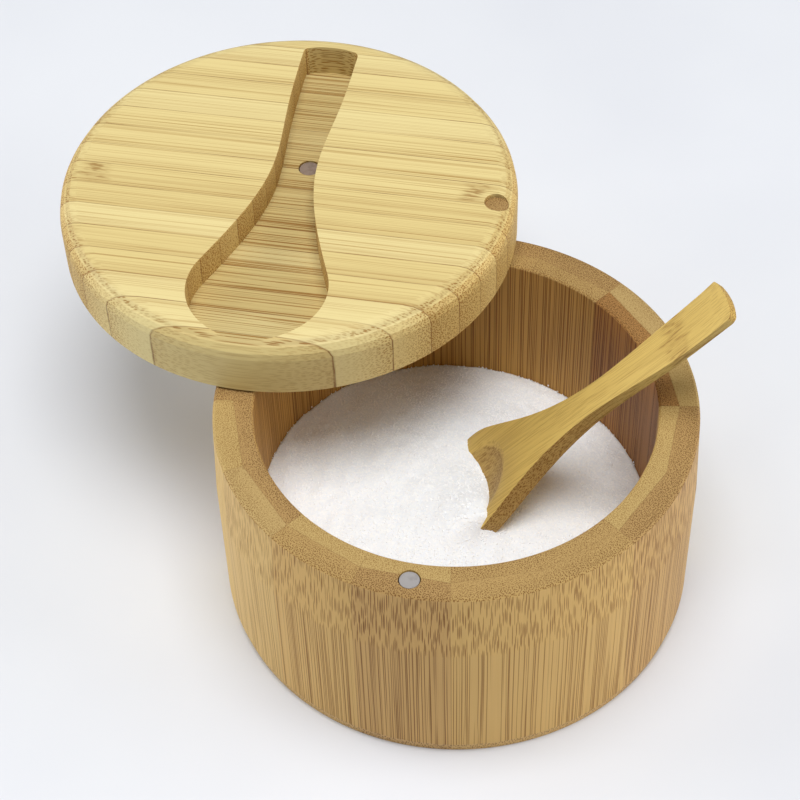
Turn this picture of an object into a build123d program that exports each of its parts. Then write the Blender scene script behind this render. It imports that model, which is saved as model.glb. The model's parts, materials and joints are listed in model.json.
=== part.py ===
"""Salt box of laminated bamboo, with a lid that swivels on a screw in the rim and a scoop.

The wall is a ring of mitred two-ply staves, turned round. The lid is a disc glued up from strips on
edge, with a recess in its top that stores the scoop. A screw at the back of the rim is the lid's
pivot, and a pair of magnets at the front holds the lid shut.

Frame: millimetres, +Z up, origin on the box's axis at the foot of the wall. The pivot is on +Y, the
closing magnet on -Y. The lid is open, swung sideways round the pivot, and the scoop stands in the salt.
"""

import os
from math import ceil, cos, floor, radians, sin, sqrt

from build123d import *

# ---- Wall: a turned ring of staves ----
bore_diameter = 83.6
inner_ply_thickness = 3.4  # at the middle of a stave
outer_ply_thickness = 5.8
body_height = 52.5
rim_draw = 0.8  # how far the turned side tapers in at the rim
rim_draw_height = 18.0
foot_draw = 0.7  # how far it tapers in at the foot
foot_draw_height = 3.0
rim_outer_edge = 0.5
rim_inner_edge = 0.4
stave_count = 16
stave_joint_angle = 10.0  # bearing of the first mitre joint, from +X

# ---- Bottom disc, flush in a rabbet at the foot of the wall ----
bottom_thickness = 8.0
rabbet_shoulder = 2.2
glue_gap = 0.05

# ---- Lid: strips on edge, turned to a disc ----
lid_inset = 0.8  # the lid's edge inside the wall's widest line
lid_thickness = 14.1
lid_top_round = 4.2
lid_round_flats = 4  # narrow flats that the top round is cut in
lid_bottom_edge = 0.6
lid_running_gap = 0.1  # between the rim and the lid's underside
lid_open_angle = 88.3  # from shut to the open pose that is modelled
strip_width = 6.45
strip_joint_offset = 1.15  # from the lid's centre to the nearest glue line

# ---- Pivot screw and its plug ----
screw_head_diameter = 4.6
screw_head_height = 1.8
screw_shank_diameter = 2.8
screw_grip_in_wall = 18.0
screw_point_length = 3.0
screw_slot_width = 0.7
screw_slot_depth = 0.8
screw_running_clearance = 0.06
screw_head_lift = 0.1
plug_diameter = 5.2
plug_thickness = 3.0
plug_setback = 1.0  # the plug's face below the lid's top

# ---- Magnets ----
magnet_diameter = 4.0
magnet_thickness = 3.0
magnet_setback = 0.25
keeper_diameter = 4.4
keeper_thickness = 1.8
keeper_setback = 0.3
keeper_from_bowl = 45.4  # along the recess, from the bowl's centre
keeper_side_offset = 1.7
magnet_socket_clearance = 0.25

# ---- Scoop ----
scoop_bowl_radius = 13.9
scoop_end_half_width = 6.1
scoop_grip_half_width = 5.3
scoop_grip_from_end = 21.6
scoop_neck_half_width = 3.9
scoop_neck_from_bowl = 37.0
scoop_flare_half_width = 7.5
scoop_flare_from_bowl = 18.0
scoop_bowl_join_angle = 112.0  # bearing on the bowl where the flare runs into it
scoop_end_bow = 1.2  # how far the end of the handle bulges
scoop_end_corner = 1.6
scoop_tip_thickness = 1.2
scoop_bowl_thickness = 3.3
scoop_neck_thickness = 2.9
scoop_end_thickness = 1.7
scoop_tip_rise = 1.5  # underside above its lowest line, at the tip
scoop_bowl_rise = 0.3
scoop_end_rise = 1.4
scoop_dish_radius = 27.0
scoop_dish_depth = 2.1
scoop_disc_thickness = 1.0
scoop_disc_diameter = 4.0
scoop_disc_setback = 0.1
scoop_slope = 50.0  # handle above the horizontal, as it stands in the salt
scoop_bearing = 11.4
scoop_bowl_centre = (4.9, 2.5, 22.8)

# ---- Recess that stores the scoop, in the lid's top; the lid's width sets the scoop's length ----
recess_depth = 7.6
recess_side_offset = 0.6  # towards the pivot
recess_bowl_wall = 2.2  # wood left between the recess and the lid's edge, at the bowl
recess_end_wall = 4.8  # and at the end of the handle
recess_bowl_clearance = 1.1
recess_flare_clearance = 1.6
recess_neck_clearance = 0.95
recess_grip_clearance = 0.5
recess_end_clearance = 0.3
recess_length_clearance = 0.8  # past the end of the handle

# ---- Salt ----
salt_wall_height = 18.7  # mean height of the salt against the wall
salt_crown = 4.0
salt_lean = 3.8  # how much higher it lies against the wall on its high side
salt_high_bearing = 201.0
salt_wall_gap = 0.1
salt_scoop_gap = 0.3

# ---- Worked out from the sizes above ----
bore_radius = bore_diameter / 2
ply_flat_radius = bore_radius + inner_ply_thickness  # to the flat glue line between a stave's two plies
body_radius = ply_flat_radius + outer_ply_thickness
rim_radius = body_radius - rim_draw
fitting_radius = (bore_radius + rim_radius) / 2  # pivot and magnets: the middle of the rim
rabbet_radius = bore_radius + rabbet_shoulder
stave_angle = 360 / stave_count
lid_radius = body_radius - lid_inset
lid_base = body_height + lid_running_gap
lid_top = lid_base + lid_thickness
recess_floor = lid_top - recess_depth
recess_bowl_from_centre = lid_radius - recess_bowl_wall - scoop_bowl_radius - recess_bowl_clearance
recess_end_from_bowl = recess_bowl_from_centre + lid_radius - recess_end_wall
scoop_reach = recess_end_from_bowl - recess_length_clearance  # from the bowl's centre to the handle's end
scoop_grip_from_bowl = scoop_reach - scoop_grip_from_end
keeper_x = recess_bowl_from_centre - keeper_from_bowl
seat_height = lid_top - plug_setback - plug_thickness - screw_head_height - 2 * screw_head_lift
head_base = seat_height + screw_head_lift
far = 4 * body_radius  # past everything

# The lid's own frame: X along the recess towards the bowl, Y towards the pivot.
open_turn = radians(lid_open_angle)
lid_centre = (-fitting_radius * sin(open_turn), fitting_radius * (1 - cos(open_turn)))


def lid_plane(height: float) -> Plane:
    """Level plane in the lid's own frame, at a height above the foot."""
    return Plane(
        origin=(lid_centre[0], lid_centre[1], height),
        x_dir=(cos(open_turn), -sin(open_turn), 0),
        z_dir=(0, 0, 1),
    )


# The scoop's own frame: X up the handle from the bowl's centre, Z out of the hollow side.
slope = radians(scoop_slope)
bearing = radians(scoop_bearing)
scoop_up = Vector(cos(slope) * cos(bearing), cos(slope) * sin(bearing), sin(slope))
scoop_side = Vector(-sin(bearing), cos(bearing), 0)
scoop_face = scoop_up.cross(scoop_side)
scoop_plane = Plane(origin=scoop_bowl_centre, x_dir=scoop_up, z_dir=scoop_face)
scoop_profile_plane = Plane(origin=scoop_bowl_centre, x_dir=scoop_up, z_dir=-scoop_side)
scoop_low = -scoop_neck_thickness / 2  # lowest line of the underside, in the scoop's frame

os.makedirs("parts", exist_ok=True)


def save(part: Part, label: str) -> None:
    """Label a finished piece and write it to its own STEP file."""
    part.label = label
    export_step(part, f"parts/{label}.step")


def spoon_outline(end_x, end_half, grip_half, neck_half, flare_half, bowl_radius):
    """Sketch of a scoop seen from above: round bowl at the origin, narrow neck, handle along +X."""
    join = radians(scoop_bowl_join_angle)
    join_x = -bowl_radius * cos(join)
    join_y = bowl_radius * sin(join)
    with BuildSketch() as outline:
        with BuildLine():
            Spline(
                (end_x, end_half),
                (scoop_grip_from_bowl, grip_half),
                (scoop_neck_from_bowl, neck_half),
                (scoop_flare_from_bowl, flare_half),
                (join_x, join_y),
                tangents=((-1, -0.01), (-sin(join), -cos(join))),
            )
            ThreePointArc((join_x, join_y), (-bowl_radius, 0), (join_x, -join_y))
            Spline(
                (join_x, -join_y),
                (scoop_flare_from_bowl, -flare_half),
                (scoop_neck_from_bowl, -neck_half),
                (scoop_grip_from_bowl, -grip_half),
                (end_x, -end_half),
                tangents=((sin(join), -cos(join)), (1, -0.01)),
            )
            ThreePointArc((end_x, -end_half), (end_x + scoop_end_bow, 0), (end_x, end_half))
        make_face()
        fillet(outline.vertices().group_by(Axis.X)[-1], scoop_end_corner)
    return outline.sketch


# ---- Wall blank: the whole ring, turned, with its holes ----
with BuildPart() as wall_blank:
    with BuildSketch(Plane.XZ) as wall_section:
        with BuildLine():
            Polyline(
                (body_radius - foot_draw, 0),
                (body_radius, foot_draw_height),
                (body_radius, body_height - rim_draw_height),
                (rim_radius, body_height),
                (bore_radius, body_height),
                (bore_radius, bottom_thickness),
                (rabbet_radius, bottom_thickness),
                (rabbet_radius, 0),
                close=True,
            )
        make_face()
        chamfer(wall_section.vertices().group_by(Axis.Y)[-1].sort_by(Axis.X)[-1], rim_outer_edge)
        chamfer(wall_section.vertices().group_by(Axis.Y)[-1].sort_by(Axis.X)[0], rim_inner_edge)
    revolve(axis=Axis.Z)
    with Locations((0, -fitting_radius, body_height)):
        Hole(magnet_diameter / 2 + magnet_socket_clearance, magnet_setback + magnet_thickness)
    with Locations((0, fitting_radius, body_height)):
        Hole(screw_shank_diameter / 2 + glue_gap, screw_grip_in_wall)


def stave_ply(index: int, keep: Keep) -> Part:
    """One ply of one stave: a wedge of the turned ring, on one side of the stave's flat glue line."""
    start = radians(stave_joint_angle + index * stave_angle)
    stop = start + radians(stave_angle)
    middle = (start + stop) / 2
    glue_line = Plane(
        origin=(ply_flat_radius * cos(middle), ply_flat_radius * sin(middle), 0),
        z_dir=(cos(middle), sin(middle), 0),
    )
    with BuildPart() as ply:
        add(wall_blank.part)
        with BuildSketch():
            Polygon((0, 0), (far * cos(start), far * sin(start)), (far * cos(stop), far * sin(stop)), align=None)
        extrude(amount=body_height, mode=Mode.INTERSECT)
        split(bisect_by=glue_line, keep=keep)
    return ply.part


for index in range(stave_count):
    save(stave_ply(index, Keep.TOP), f"stave_outer_{index + 1:02d}")
    save(stave_ply(index, Keep.BOTTOM), f"stave_inner_{index + 1:02d}")

# ---- Bottom disc ----
with BuildPart() as bottom_disc:
    with BuildSketch():
        Circle(rabbet_radius - glue_gap)
    extrude(amount=bottom_thickness)
save(bottom_disc.part, "bottom_disc")

# ---- Rim magnet ----
with BuildPart() as rim_magnet:
    with BuildSketch(Plane.XY.offset(body_height - magnet_setback)):
        with Locations((0, -fitting_radius)):
            Circle(magnet_diameter / 2)
    extrude(amount=-magnet_thickness)
save(rim_magnet.part, "rim_magnet")

# ---- Pivot screw: countersunk in the lid, fixed in the wall ----
with BuildPart() as pivot_screw:
    with BuildSketch(Plane.XZ.offset(-fitting_radius)):
        with BuildLine():
            shank = screw_shank_diameter / 2
            head = screw_head_diameter / 2
            point = body_height - screw_grip_in_wall + glue_gap
            Polyline(
                (0, head_base + screw_head_height),
                (head, head_base + screw_head_height),
                (head, head_base),
                (shank, head_base),
                (shank, point + screw_point_length),
                (0, point),
                close=True,
            )
        make_face()
    revolve(axis=Axis((0, fitting_radius, 0), (0, 0, 1)))
    with BuildSketch(Plane.XY.offset(head_base + screw_head_height)):
        with Locations((0, fitting_radius)):
            Rectangle(screw_head_diameter, screw_slot_width)
    extrude(amount=-screw_slot_depth, mode=Mode.SUBTRACT)
save(pivot_screw.part, "pivot_screw")

# ---- Lid blank: the whole disc, turned, with its recess and holes ----
recess_sketch = spoon_outline(
    recess_end_from_bowl - scoop_end_bow,
    scoop_end_half_width + recess_end_clearance,
    scoop_grip_half_width + recess_grip_clearance,
    scoop_neck_half_width + recess_neck_clearance,
    scoop_flare_half_width + recess_flare_clearance,
    scoop_bowl_radius + recess_bowl_clearance,
)
lid_rounding_x = lid_radius - lid_top_round
lid_rounding_y = lid_thickness - lid_top_round
lid_section_plane = Plane(
    origin=(lid_centre[0], lid_centre[1], lid_base),
    x_dir=(cos(open_turn), -sin(open_turn), 0),
    z_dir=(-sin(open_turn), -cos(open_turn), 0),
)
with BuildPart() as lid_blank:
    with BuildSketch(lid_section_plane):
        with BuildLine():
            turns = [radians(90 * step / lid_round_flats) for step in range(lid_round_flats + 1)]
            Polyline(
                (0, lid_thickness),
                (0, 0),
                (lid_radius - lid_bottom_edge, 0),
                (lid_radius, lid_bottom_edge),
                *[(lid_rounding_x + lid_top_round * cos(t), lid_rounding_y + lid_top_round * sin(t)) for t in turns],
                close=True,
            )
        make_face()
    revolve(axis=Axis((lid_centre[0], lid_centre[1], lid_base), (0, 0, 1)))
    with BuildSketch(lid_plane(lid_top)):
        with Locations(Location((recess_bowl_from_centre, recess_side_offset, 0), (0, 0, 180))):
            add(recess_sketch)
    extrude(amount=-recess_depth, mode=Mode.SUBTRACT)
    with BuildSketch(lid_plane(recess_floor)):
        with Locations((keeper_x, keeper_side_offset)):
            Circle(keeper_diameter / 2 + magnet_socket_clearance)
    extrude(amount=-keeper_setback - keeper_thickness, mode=Mode.SUBTRACT)
    with BuildSketch(lid_plane(lid_base)):
        with Locations((0, -fitting_radius)):
            Circle(magnet_diameter / 2 + magnet_socket_clearance)
    extrude(amount=magnet_setback + magnet_thickness, mode=Mode.SUBTRACT)
    with BuildSketch(lid_plane(lid_base)):
        with Locations((0, fitting_radius)):
            Circle(screw_shank_diameter / 2 + screw_running_clearance)
    extrude(amount=lid_thickness, mode=Mode.SUBTRACT)
    with BuildSketch(lid_plane(seat_height)):
        with Locations((0, fitting_radius)):
            Circle(plug_diameter / 2 + glue_gap)
    extrude(amount=lid_thickness, mode=Mode.SUBTRACT)


def lid_strip(index: int) -> Part:
    """One strip of the lid: the slice of the turned disc between two neighbouring glue lines."""
    with BuildPart() as strip:
        add(lid_blank.part)
        with BuildSketch(lid_plane(lid_base)):
            with Locations((strip_joint_offset + (index + 0.5) * strip_width, 0)):
                Rectangle(strip_width, far)
        extrude(amount=lid_thickness, mode=Mode.INTERSECT)
    return strip.part


first_strip = floor((-lid_radius - strip_joint_offset) / strip_width)
last_strip = ceil((lid_radius - strip_joint_offset) / strip_width)
for number, index in enumerate(range(first_strip, last_strip), start=1):
    save(lid_strip(index), f"lid_strip_{number:02d}")

# ---- Plug over the screw's head, lid magnet and keeper magnet ----
with BuildPart() as pivot_plug:
    with BuildSketch(lid_plane(lid_top - plug_setback)):
        with Locations((0, fitting_radius)):
            Circle(plug_diameter / 2)
    extrude(amount=-plug_thickness)
save(pivot_plug.part, "pivot_plug")

with BuildPart() as lid_magnet:
    with BuildSketch(lid_plane(lid_base + magnet_setback)):
        with Locations((0, -fitting_radius)):
            Circle(magnet_diameter / 2)
    extrude(amount=magnet_thickness)
save(lid_magnet.part, "lid_magnet")

with BuildPart() as keeper_magnet:
    with BuildSketch(lid_plane(recess_floor - keeper_setback)):
        with Locations((keeper_x, keeper_side_offset)):
            Circle(keeper_diameter / 2)
    extrude(amount=-keeper_thickness)
save(keeper_magnet.part, "keeper_magnet")

# ---- Scoop: plan outline and side profile meet, then the bowl is dished ----
scoop_sketch = spoon_outline(
    scoop_reach - scoop_end_bow,
    scoop_end_half_width,
    scoop_grip_half_width,
    scoop_neck_half_width,
    scoop_flare_half_width,
    scoop_bowl_radius,
)
scoop_tip_x = -scoop_bowl_radius
bowl_top = scoop_low + scoop_bowl_rise + scoop_bowl_thickness
with BuildPart() as scoop:
    with BuildSketch(scoop_profile_plane):
        with BuildLine():
            under = Spline(
                (scoop_tip_x, scoop_low + scoop_tip_rise),
                (0, scoop_low + scoop_bowl_rise),
                (scoop_neck_from_bowl, scoop_low),
                (scoop_reach, scoop_low + scoop_end_rise),
            )
            over = Spline(
                (scoop_tip_x, scoop_low + scoop_tip_rise + scoop_tip_thickness),
                (0, bowl_top),
                (scoop_neck_from_bowl, scoop_low + scoop_neck_thickness),
                (scoop_reach, scoop_low + scoop_end_rise + scoop_end_thickness),
            )
            Line(under @ 0, over @ 0)
            Line(under @ 1, over @ 1)
        make_face()
    extrude(amount=scoop_bowl_radius, both=True)
    with BuildSketch(scoop_plane):
        add(scoop_sketch)
    extrude(amount=2 * scoop_bowl_thickness, both=True, mode=Mode.INTERSECT)
    dish_centre = scoop_plane.from_local_coords((0, 0, bowl_top - scoop_dish_depth + scoop_dish_radius))
    with Locations(dish_centre):
        Sphere(scoop_dish_radius, rotation=(90, 0, 0), mode=Mode.SUBTRACT)
    disc_socket = scoop_plane.offset(scoop_low + scoop_disc_thickness)
    with BuildSketch(disc_socket):
        with Locations((keeper_from_bowl, 0)):
            Circle(scoop_disc_diameter / 2 + glue_gap)
    extrude(amount=-2 * scoop_disc_thickness, mode=Mode.SUBTRACT)
save(scoop.part, "scoop")

# ---- Steel disc in the scoop's underside, where the keeper magnet holds it ----
with BuildPart() as scoop_disc:
    with BuildSketch(disc_socket):
        with Locations((keeper_from_bowl, 0)):
            Circle(scoop_disc_diameter / 2)
    extrude(amount=-scoop_disc_thickness + scoop_disc_setback)
save(scoop_disc.part, "scoop_disc")

# ---- Salt: a low crown that leans to one side, with the scoop's way out left open ----
salt_radius = bore_radius - salt_wall_gap
crown_radius = (salt_radius**2 + salt_crown**2) / (2 * salt_crown)
crown_shift = salt_lean * crown_radius / salt_radius
high_side = radians(salt_high_bearing)
salt_top = salt_wall_height + salt_crown
crown_centre = (
    crown_shift * cos(high_side),
    crown_shift * sin(high_side),
    salt_top - sqrt(crown_radius**2 - crown_shift**2),
)
way_half_width = scoop_bowl_radius + salt_scoop_gap
with BuildPart() as salt:
    with BuildSketch(Plane.XY.offset(bottom_thickness)):
        Circle(salt_radius)
    extrude(amount=body_height)
    with Locations(crown_centre):
        Sphere(crown_radius, rotation=(90, 0, 0), mode=Mode.INTERSECT)
    with BuildSketch(scoop_plane.offset(scoop_low - salt_scoop_gap)):
        Circle(way_half_width)
        with Locations((far / 2, 0)):
            Rectangle(far, 2 * way_half_width)
    extrude(amount=scoop_bowl_rise + scoop_bowl_thickness + 2 * salt_scoop_gap, mode=Mode.SUBTRACT)
save(salt.part, "salt")
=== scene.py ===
"""Bamboo salt box with a swivel lid and a scoop: its finishes, its salt and the studio round it.

Lengths are in metres in the frame of the solids: Z up, the box's axis at the origin, the lid's
upright pivot towards +Y. Sizes written with MM, and the fields that say so, are in millimetres.
"""

import json
import logging
import math
import random
from dataclasses import dataclass, field
from enum import Enum
from typing import Callable, Optional, Union

import bmesh
import bpy
from mathutils import Matrix, Vector, noise

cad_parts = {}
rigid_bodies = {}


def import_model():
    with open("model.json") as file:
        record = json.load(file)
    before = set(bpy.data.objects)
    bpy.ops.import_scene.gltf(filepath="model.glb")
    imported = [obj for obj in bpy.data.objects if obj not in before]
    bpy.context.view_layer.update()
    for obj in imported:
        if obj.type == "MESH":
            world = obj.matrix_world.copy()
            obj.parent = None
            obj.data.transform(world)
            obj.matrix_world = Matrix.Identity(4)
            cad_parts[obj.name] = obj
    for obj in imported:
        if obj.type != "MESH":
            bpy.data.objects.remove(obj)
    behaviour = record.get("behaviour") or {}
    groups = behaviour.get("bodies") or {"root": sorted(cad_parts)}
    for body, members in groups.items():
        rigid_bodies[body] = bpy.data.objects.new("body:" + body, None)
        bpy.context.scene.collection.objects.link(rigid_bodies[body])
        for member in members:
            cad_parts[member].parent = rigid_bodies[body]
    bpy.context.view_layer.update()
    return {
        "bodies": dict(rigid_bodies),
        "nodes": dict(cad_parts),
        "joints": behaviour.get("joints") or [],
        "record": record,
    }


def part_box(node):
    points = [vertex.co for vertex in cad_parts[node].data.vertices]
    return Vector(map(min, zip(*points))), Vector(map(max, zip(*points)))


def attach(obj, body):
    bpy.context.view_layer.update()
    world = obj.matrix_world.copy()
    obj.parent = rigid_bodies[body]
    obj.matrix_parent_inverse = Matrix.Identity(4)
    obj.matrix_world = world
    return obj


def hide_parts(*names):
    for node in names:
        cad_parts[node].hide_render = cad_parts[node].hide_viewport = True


MM = 0.001
MM_PER_METRE = 1000.0

log = logging.getLogger("salt_box")

Number = Union[int, float]
Term = Union["Wire", int, float]
Value = Union["Wire", int, float, tuple, Vector, str, bool]
Name = Union[str, int]
Colour = tuple[float, float, float]


def tint(red: int, green: int, blue: int) -> Colour:
    """Turns a display colour into the linear one that shaders take.

    Args:
        red: Red, 0 to 255.
        green: Green, 0 to 255.
        blue: Blue, 0 to 255.

    Returns:
        The linear colour, each part 0 to 1.
    """
    def straight(value: int) -> float:
        """Undoes the display curve for one part."""
        share = value / 255
        return share / 12.92 if share <= 0.04045 else ((share + 0.055) / 1.055) ** 2.4

    return (straight(red), straight(green), straight(blue))


# ---------------------------------------------------------------------------------------------
# Node trees
# ---------------------------------------------------------------------------------------------


def math_method(operation: str, reflected: bool = False) -> Callable[["Wire", Term], "Wire"]:
    """Makes the method of one operator on wires.

    Args:
        operation: The operation of the Math node that each use adds.
        reflected: Whether the wire comes second.

    Returns:
        The method.
    """
    def apply(wire: "Wire", other: Term) -> "Wire":
        """Adds the node for one use."""
        return wire.sum(operation, *((other, wire) if reflected else (wire, other)))

    return apply


class Wire:
    """One output socket that takes part in sums, each of which adds a Math node."""

    def __init__(self, bench: "Bench", socket: bpy.types.NodeSocket) -> None:
        """Keeps the socket and the bench whose tree it is in."""
        self.bench = bench
        self.socket = socket

    def sum(self, operation: str, *values: Term, clamp: bool = False) -> "Wire":
        """Adds a Math node.

        Args:
            operation: The Math node's operation.
            values: Its inputs, in order.
            clamp: Whether the result is kept between 0 and 1.

        Returns:
            The Math node's output.
        """
        settings = {"operation": operation, "use_clamp": clamp}
        return self.bench.make("ShaderNodeMath", settings, dict(enumerate(values)))

    __add__, __radd__ = math_method("ADD"), math_method("ADD", reflected=True)
    __sub__, __rsub__ = math_method("SUBTRACT"), math_method("SUBTRACT", reflected=True)
    __mul__, __rmul__ = math_method("MULTIPLY"), math_method("MULTIPLY", reflected=True)
    __truediv__, __rtruediv__ = math_method("DIVIDE"), math_method("DIVIDE", reflected=True)
    __pow__ = math_method("POWER")
    least, most = math_method("MINIMUM"), math_method("MAXIMUM")

    def __abs__(self) -> "Wire":
        """Distance of self from 0."""
        return self.sum("ABSOLUTE", self)

    def clamped(self) -> "Wire":
        """self kept between 0 and 1."""
        return self.sum("ADD", self, 0.0, clamp=True)

    def ramp(self, low: Number, high: Number, start: Number = 0.0, end: Number = 1.0) -> "Wire":
        """Eases from start, where self is low, to end, where self is high.

        Args:
            low: The value of self at the start.
            high: The value of self at the end.
            start: The result at and below low.
            end: The result at and above high.

        Returns:
            The eased value.
        """
        settings = {"interpolation_type": "SMOOTHSTEP", "clamp": True}
        ends = {"From Min": low, "From Max": high, "To Min": start, "To Max": end}
        return self.bench.make("ShaderNodeMapRange", settings, {"Value": self, **ends}, "Result")

    def swing(self, reach: Term) -> "Wire":
        """Makes of a noise between 0 and 1 one that goes half of reach to both sides of 0."""
        return (self - 0.5) * reach

    def fall(self, low: Number, high: Number) -> "Wire":
        """Eases from 1, where self is low, to 0, where self is high."""
        return self.ramp(low, high, 1.0, 0.0)

    def other(self, output: Name) -> "Wire":
        """Another output of the same node."""
        return Wire(self.bench, self.socket.node.outputs[output])


@dataclass(frozen=True)
class Pattern:
    """An uneven pattern.

    Attributes:
        stretch: How often it changes in a unit of length along each axis.
        detail: Its octaves.
        roughness: How strong the fine octaves are, 0 to 1.
    """

    stretch: tuple[float, float, float]
    detail: float = 2.0
    roughness: float = 0.5


class Bench:
    """Where one node tree is put together."""

    def __init__(self, tree: bpy.types.NodeTree) -> None:
        """Keeps the tree."""
        self.tree = tree

    def make(self, kind: str, settings: Optional[dict[str, Value]] = None,
             inputs: Optional[dict[Name, Value]] = None, output: Name = 0) -> Wire:
        """Makes any node.

        Args:
            kind: The node's type.
            settings: Its properties, set before its sockets.
            inputs: Values or wires by socket name or number.
            output: The name or number of the socket that is given back.

        Returns:
            The chosen output.
        """
        node = self.tree.nodes.new(kind)
        for name, value in (settings or {}).items():
            setattr(node, name, value)
        for name, value in (inputs or {}).items():
            socket = self._pick(node.inputs, name)
            if isinstance(value, Wire):
                self.tree.links.new(value.socket, socket)
            else:
                socket.default_value = self._fitted(socket, value)
        if not len(node.outputs):
            return Wire(self, None)
        return Wire(self, self._pick(node.outputs, output))

    def _pick(self, sockets: bpy.types.bpy_prop_collection, name: Name) -> bpy.types.NodeSocket:
        """Finds a live socket by name, or any by number.

        Args:
            sockets: The node's inputs or outputs.
            name: The socket's name or number.

        Returns:
            The socket.
        """
        if isinstance(name, int):
            return sockets[name]
        live = [s for s in sockets if s.name == name and s.enabled]
        return live[0] if live else sockets[name]

    def _fitted(self, socket: bpy.types.NodeSocket, value: Value) -> Value:
        """Adds the alpha that a colour socket needs.

        Args:
            socket: The socket the value goes to.
            value: The value.

        Returns:
            The value, with 1 as a fourth part for a colour.
        """
        if socket.type == "RGBA" and len(value) == 3:
            return (*value, 1.0)
        return value

    def given(self) -> dict[str, Wire]:
        """Adds a group's entry and gives what comes in, by name."""
        entry = self.make("NodeGroupInput").socket.node
        return {s.name: Wire(self, s) for s in entry.outputs if s.name}

    def here(self) -> Wire:
        """Gives the place of the spot that is shaded, in metres."""
        return self.make("ShaderNodeTexCoord", {}, {}, "Object")

    def vector(self, operation: str, first: Value, second: Value) -> Wire:
        """Adds a Vector Math node.

        Args:
            operation: Its operation.
            first: The first vector.
            second: The second vector, or a number for SCALE.

        Returns:
            The resulting vector.
        """
        settings = {"operation": operation}
        place = "Scale" if operation == "SCALE" else 1
        return self.make("ShaderNodeVectorMath", settings, {0: first, place: second})

    def mix(self, factor: Value, first: Value, second: Value, blend: str = "MIX") -> Wire:
        """Mixes two colours.

        Args:
            factor: The share of the second.
            first: The first colour.
            second: The second colour.
            blend: How they are blended.

        Returns:
            The mixed colour.
        """
        settings = {"data_type": "RGBA", "blend_type": blend}
        return self.make("ShaderNodeMix", settings, {0: factor, 6: first, 7: second}, 2)

    def parts(self, vector: Wire) -> tuple[Wire, Wire, Wire]:
        """Splits a vector into its three numbers."""
        first = self.make("ShaderNodeSeparateXYZ", {}, {0: vector})
        return first, first.other(1), first.other(2)

    def noise(self, place: Wire, pattern: Pattern, output: str = "Fac") -> Wire:
        """Adds a Noise texture.

        Args:
            place: Where it is read.
            pattern: How it looks.
            output: "Fac" for a number or "Color" for three.

        Returns:
            The noise.
        """
        stretched = self.vector("MULTIPLY", place, pattern.stretch)
        sockets = {"Vector": stretched, "Scale": 1.0, "Detail": pattern.detail,
                   "Roughness": pattern.roughness}
        return self.make("ShaderNodeTexNoise", {}, sockets, output)

    def cells(self, place: Wire, pitch: float, randomness: float = 0.9) -> Wire:
        """Adds cells in the plane of X and Y, and measures from their middles.

        Args:
            place: Where they are read.
            pitch: The cells' size.
            randomness: How uneven they are.

        Returns:
            The distance from the nearest middle, as a share of the pitch.
        """
        settings = {"voronoi_dimensions": "2D", "feature": "F1"}
        sockets = {"Vector": place, "Scale": 1.0 / pitch, "Randomness": randomness}
        return self.make("ShaderNodeTexVoronoi", settings, sockets, "Distance")

    def bump(self, height: Wire, strength: float, depth: float) -> Wire:
        """Adds a Bump node.

        Args:
            height: The relief, 0 to 1.
            strength: How much of it shows.
            depth: How deep it is, in mm.

        Returns:
            The tilted normal.
        """
        sockets = {"Strength": strength, "Distance": depth * MM, "Height": height}
        return self.make("ShaderNodeBump", {}, sockets)

    def surface(self, sockets: dict[Name, Value]) -> None:
        """Ends a material with its Principled shader.

        Args:
            sockets: The shader's values or wires.
        """
        shader = self.make("ShaderNodeBsdfPrincipled", {}, sockets)
        self.make("ShaderNodeOutputMaterial", {}, {"Surface": shader})


def declare(tree: bpy.types.NodeTree, way: str, kinds: dict[str, tuple[str, ...]]) -> None:
    """Declares what goes into a group or comes out of it.

    Args:
        tree: The group.
        way: "INPUT" or "OUTPUT".
        kinds: The sockets' names, by kind.
    """
    for kind, names in kinds.items():
        for name in names:
            tree.interface.new_socket(name, in_out=way, socket_type=f"NodeSocket{kind}")


def empty_material(name: str) -> tuple[bpy.types.Material, Bench]:
    """Makes a material with no nodes.

    Args:
        name: Its name.

    Returns:
        The material, and the bench for its nodes.
    """
    material = bpy.data.materials.new(name)
    material.use_nodes = True
    material.node_tree.nodes.clear()
    return material, Bench(material.node_tree)


def place_material(piece: bpy.types.Object, material: bpy.types.Material) -> None:
    """Puts a material on the whole of a piece.

    Args:
        piece: The piece.
        material: Its material.
    """
    if not piece.material_slots:
        piece.data.materials.append(material)
    for slot in piece.material_slots:
        slot.material = material
    log.info("dressed %s", piece.name)


def add_piece(name: str, data: bpy.types.ID) -> bpy.types.Object:
    """Puts a mesh, a lamp or a camera into the scene.

    Args:
        name: The new object's name.
        data: What it shows.

    Returns:
        The object.
    """
    piece = bpy.data.objects.new(name, data)
    bpy.context.scene.collection.objects.link(piece)
    return piece


def finished(name: str, made: bmesh.types.BMesh) -> bpy.types.Mesh:
    """Turns what was modelled into a mesh.

    Args:
        name: The mesh's name.
        made: What was modelled, which is freed.

    Returns:
        The mesh.
    """
    mesh = bpy.data.meshes.new(name)
    made.to_mesh(mesh)
    made.free()
    return mesh


def worked_out(piece: bpy.types.Object) -> bpy.types.Mesh:
    """Gives a plain mesh of a piece with its modifiers worked out."""
    ready = piece.evaluated_get(bpy.context.evaluated_depsgraph_get())
    return bpy.data.meshes.new_from_object(ready)


# ---------------------------------------------------------------------------------------------
# Bamboo
# ---------------------------------------------------------------------------------------------

# A growth ring there crosses no slat, in mm along its grain.
NO_RING = 900.0

# Half of a width that no slat has, so that a piece of a single slat shows no glue, in mm.
UNGLUED = 60.0

# Between these a slat's pattern is moved, in mm, so that no two slats match.
SHIFT_RANGE = (20, 900)


def random_shift(chance: random.Random) -> Vector:
    """Picks how far one slat's pattern is moved."""
    return Vector([chance.uniform(*SHIFT_RANGE) for _ in range(3)])


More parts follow.
